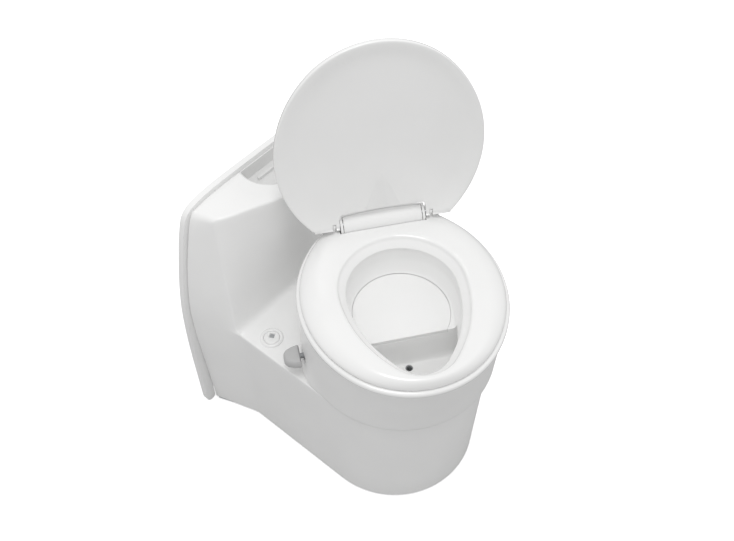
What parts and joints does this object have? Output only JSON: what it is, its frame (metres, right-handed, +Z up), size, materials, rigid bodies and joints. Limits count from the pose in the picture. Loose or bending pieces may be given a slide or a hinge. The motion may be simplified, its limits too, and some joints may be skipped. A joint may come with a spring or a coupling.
{
  "type": "cassette toilet",
  "caption": "Cassette toilet for a caravan: round pedestal with a swivelling oval bowl, seat, lid and closing blade, a rear console and a slide-out wheeled waste tank.",
  "frame": {"origin": "on the floor, on the axis the bowl swivels about", "axes": "+Z up, -Y to the front of the toilet, +Y to the caravan wall behind it, +X to the right seen from the front"},
  "size_m": [0.4725, 0.5618, 0.8452],
  "materials": {
    "white_abs": "moulded white with a soft gloss",
    "white_gloss": "polished white",
    "white_pp": "smooth white, slightly waxy",
    "grey_plastic": "fine grain",
    "knob_grey": "fine grain",
    "tank_grey": "blow-moulded, fine grain",
    "black_plastic": "fine grain",
    "clear_pe": "milky natural",
    "hose_pvc": "smooth",
    "black_rubber": "smooth",
    "grey_rubber": "smooth",
    "zinc_steel": "zinc plated",
    "float_orange": "foam skin"
  },
  "bodies": {
    "base": {"housing": "white_abs", "foot_trim": "grey_plastic", "wall_frame": "white_abs", "cassette_tray": "grey_plastic", "swivel_track": "grey_plastic", "drop_chute": "white_pp", "flush_tank": "clear_pe", "tank_fitting": "grey_plastic", "flush_pump": "black_plastic", "water_hose": "hose_pvc", "control_unit": "black_plastic", "frame_screws": "zinc_steel", "button_bezel": "white_abs", "button_spring": "zinc_steel", "switch_box": "black_plastic"},
    "button": {"flush_button": "white_abs"},
    "bowl": {"swivel_ring": "grey_plastic", "bowl_skirt": "white_abs", "rim_band": "white_abs", "bowl_shell": "white_pp", "blade_guide": "white_pp", "blade_seal": "black_rubber", "rinse_nozzle": "white_pp", "drain_cup": "grey_plastic", "hinge_cover": "white_abs", "hinge_pin": "zinc_steel", "bowl_screws": "zinc_steel"},
    "closing_blade": {"blade": "white_pp", "blade_arm": "grey_plastic", "lever_knob": "knob_grey"},
    "seat_ring": {"seat": "white_gloss", "seat_buffers": "grey_rubber"},
    "cover": {"lid": "white_gloss"},
    "cassette": {"waste_tank": "tank_grey", "inlet_collar": "black_plastic", "inlet_seal": "black_rubber", "wheel_axle": "zinc_steel", "vent_spring": "zinc_steel"},
    "shutter": {"inlet_shutter": "white_pp"},
    "spout": {"pour_spout": "tank_grey", "cap_gasket": "black_rubber"},
    "cap": {"spout_cap": "black_plastic"},
    "vent": {"vent_button": "black_plastic"},
    "grip": {"grip_handle": "black_plastic"},
    "wheel_pair": {"wheels": "black_plastic"},
    "float": {"float_arm": "grey_plastic", "float_ball": "float_orange"}
  },
  "joints": [
    {"name": "bowl_swivel", "type": "hinge", "parent": "base", "child": "bowl", "pos_m": [0, 0, 0.306], "axis": [0, 0, 1], "range_deg": [-52.6, 127.4]},
    {"name": "lid_hinge", "type": "hinge", "parent": "bowl", "child": "cover", "pos_m": [0.09111, 0.11916, 0.5], "axis": [-0.7944, 0.6074, 0], "range_deg": [-100.5, 3.5]},
    {"name": "seat_hinge", "type": "hinge", "parent": "bowl", "child": "seat_ring", "pos_m": [0.09111, 0.11916, 0.5], "axis": [-0.7944, 0.6074, 0], "range_deg": [0, 93]},
    {"name": "blade_slide", "type": "slide", "parent": "bowl", "child": "closing_blade", "axis": [0.6074, 0.7944, 0], "range_m": [0, 0.064]},
    {"name": "button_press", "type": "slide", "parent": "base", "child": "button", "axis": [0, 0, -1], "range_m": [0, 0.004], "stiffness_N_per_m": 400, "springref_m": -0.002, "deforming": ["button_spring"]},
    {"name": "cassette_slide", "type": "slide", "parent": "base", "child": "cassette", "axis": [0, 1, 0], "range_m": [0, 0.5]},
    {"name": "shutter_slide", "type": "slide", "parent": "cassette", "child": "shutter", "axis": [0, -1, 0], "range_m": [0, 0.136]},
    {"name": "spout_swivel", "type": "hinge", "parent": "cassette", "child": "spout", "pos_m": [-0.092, 0.286, 0.2], "axis": [0, 0, 1], "range_deg": [0, 90]},
    {"name": "cap_turn", "type": "hinge", "parent": "spout", "child": "cap", "pos_m": [-0.02, 0.286, 0.214], "axis": [1, 0, 0], "range_deg": [0, 180]},
    {"name": "vent_press", "type": "slide", "parent": "cassette", "child": "vent", "axis": [0, 0, -1], "range_m": [0, 0.004], "stiffness_N_per_m": 300, "springref_m": -0.002, "deforming": ["vent_spring"]},
    {"name": "grip_fold", "type": "hinge", "parent": "cassette", "child": "grip", "pos_m": [0, 0.3285, 0.074], "axis": [-1, 0, 0], "range_deg": [0, 90]},
    {"name": "wheel_spin", "type": "hinge", "parent": "cassette", "child": "wheel_pair", "pos_m": [0, -0.045, 0.02305], "axis": [1, 0, 0], "continuous": true},
    {"name": "float_swing", "type": "hinge", "parent": "cassette", "child": "float", "pos_m": [0.101, 0.12, 0.2], "axis": [1, 0, 0], "range_deg": [-6, 60]}
  ]
}
